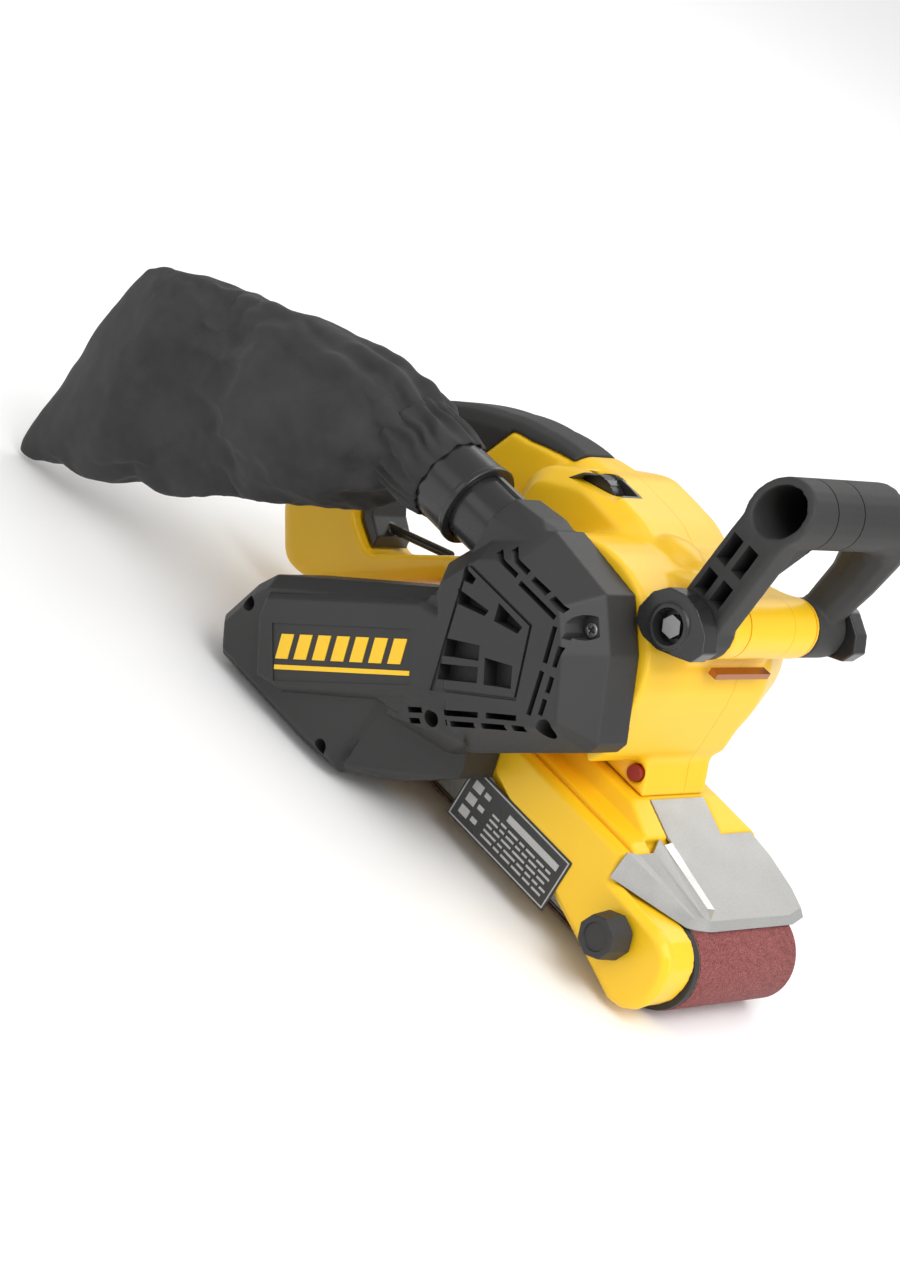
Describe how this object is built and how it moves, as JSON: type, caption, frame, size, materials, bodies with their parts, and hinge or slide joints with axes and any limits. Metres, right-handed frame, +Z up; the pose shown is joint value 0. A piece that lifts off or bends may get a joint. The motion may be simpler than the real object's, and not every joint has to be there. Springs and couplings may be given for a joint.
{
  "type": "handheld belt sander",
  "caption": "Handheld belt sander with a long abrasive belt under a deep body, a looped rear handle, a tilting front handle and a cloth dust bag behind the drive cover",
  "frame": {"origin": "centre of the flat underside of the sanding belt, where it meets the work", "axes": "+X forward to the nose, +Z up, -Y the side of the drive cover and side skirt"},
  "size_m": [0.432, 0.185, 0.2458],
  "materials": {
    "yellow_plastic": "satin",
    "black_plastic": "fine grain",
    "gloss_black": "gloss",
    "rubber_grip": "soft matte",
    "red_plastic": "gloss",
    "bag_fabric": "woven matte",
    "silver_plate": "satin",
    "steel": "satin",
    "cast_aluminium": "as cast",
    "copper": "drawn",
    "abrasive": "coated abrasive grain",
    "cork": "granular",
    "circuit": "satin"
  },
  "bodies": {
    "machine": {"side_skirt": "yellow_plastic", "deck": "yellow_plastic", "belt_frame": "cast_aluminium", "front_plate": "silver_plate", "name_label": "gloss_black", "sanding_belt": "abrasive", "platen_sheet": "steel", "cork_pad": "cork", "housing_near": "yellow_plastic", "housing_far": "yellow_plastic", "grip_overmold": "rubber_grip", "loop_liner": "gloss_black", "stop_bar": "copper", "red_plug": "red_plastic", "cord_gland": "rubber_grip", "switch_body": "gloss_black", "speed_board": "circuit", "drive_cover": "black_plastic", "cover_screw_1": "steel", "cover_screw_2": "steel", "cover_screw_3": "steel", "cover_screw_4": "steel", "cover_screw_5": "steel", "dust_duct": "black_plastic", "drive_bearing": "steel", "toothed_belt": "rubber_grip", "tension_spring": "steel", "motor_stator": "steel", "bearing_near": "steel", "bearing_far": "steel", "brush_upper": "gloss_black", "brush_lower": "gloss_black"},
    "drive_unit": {"drive_roller": "rubber_grip", "drive_shaft": "steel", "driven_pulley": "steel"},
    "armature": {"armature_core": "copper", "armature_shaft": "steel", "commutator": "copper", "cooling_fan": "black_plastic", "motor_pulley": "steel"},
    "idler_carriage": {"idler_yoke": "steel", "idler_axle": "steel"},
    "idler": {"idler_roller": "cast_aluminium"},
    "tension_lever_body": {"tension_lever": "silver_plate"},
    "front_handle_body": {"front_handle": "rubber_grip"},
    "near_clamp": {"near_clamp_knob": "gloss_black", "clamp_bolt": "steel"},
    "far_clamp": {"far_clamp_knob": "gloss_black"},
    "trigger_body": {"trigger": "gloss_black"},
    "lock_button_body": {"lock_button": "gloss_black"},
    "speed_dial_body": {"speed_dial": "gloss_black"},
    "tracking": {"tracking_knob": "black_plastic"},
    "dust_bag_body": {"dust_collar": "gloss_black", "dust_bag": "bag_fabric"}
  },
  "joints": [
    {"name": "armature_spin", "type": "hinge", "parent": "machine", "child": "armature", "pos_m": [-0.012, 0, 0.118], "axis": [0, 1, 0], "continuous": true},
    {"name": "drive_spin", "type": "hinge", "parent": "machine", "child": "drive_unit", "pos_m": [-0.0995, 0, 0.0225], "axis": [0, 1, 0], "continuous": true},
    {"name": "idler_slide", "type": "slide", "parent": "machine", "child": "idler_carriage", "axis": [-1, 0, 0], "range_m": [0, 0.006]},
    {"name": "idler_spin", "type": "hinge", "parent": "idler_carriage", "child": "idler", "pos_m": [0.0995, 0, 0.0225], "axis": [0, 1, 0], "continuous": true},
    {"name": "lever_swing", "type": "hinge", "parent": "machine", "child": "tension_lever_body", "pos_m": [0.044, 0.041, 0.022], "axis": [0, 0, -1], "range_deg": [0, 90]},
    {"name": "handle_tilt", "type": "hinge", "parent": "machine", "child": "front_handle_body", "pos_m": [0.0347, 0, 0.1633], "axis": [0, 1, 0], "range_deg": [-10, 90]},
    {"name": "near_clamp_turn", "type": "hinge", "parent": "front_handle_body", "child": "near_clamp", "pos_m": [0.0347, 0, 0.1633], "axis": [0, 1, 0], "range_deg": [0, 360]},
    {"name": "far_clamp_turn", "type": "hinge", "parent": "front_handle_body", "child": "far_clamp", "pos_m": [0.0347, 0, 0.1633], "axis": [0, 1, 0], "range_deg": [0, 360]},
    {"name": "trigger_pull", "type": "hinge", "parent": "machine", "child": "trigger_body", "pos_m": [-0.117, -0.003, 0.128], "axis": [0, 1, 0], "range_deg": [0, 8], "stiffness_Nm_per_rad": 0.4},
    {"name": "lock_push", "type": "slide", "parent": "machine", "child": "lock_button_body", "axis": [0, -1, 0], "range_m": [0, 0.003], "stiffness_N_per_m": 150},
    {"name": "dial_turn", "type": "hinge", "parent": "machine", "child": "speed_dial_body", "pos_m": [-0.066, -0.024, 0.159], "axis": [0, 1, 0], "range_deg": [0, 270]},
    {"name": "tracking_turn", "type": "hinge", "parent": "machine", "child": "tracking", "pos_m": [0.0886, 0, 0.031], "axis": [0, 1, 0], "range_deg": [-90, 90]},
    {"name": "bag_pull", "type": "slide", "parent": "machine", "child": "dust_bag_body", "axis": [-1, 0, 0], "range_m": [0, 0.045]}
  ],
  "couplings": [
    {"joint": "drive_spin", "follows": "armature_spin", "ratio": 0.4848},
    {"joint": "idler_spin", "follows": "armature_spin", "ratio": 0.4848},
    {"joint": "lever_swing", "follows": "idler_slide", "rad_per_m": 261.7}
  ]
}
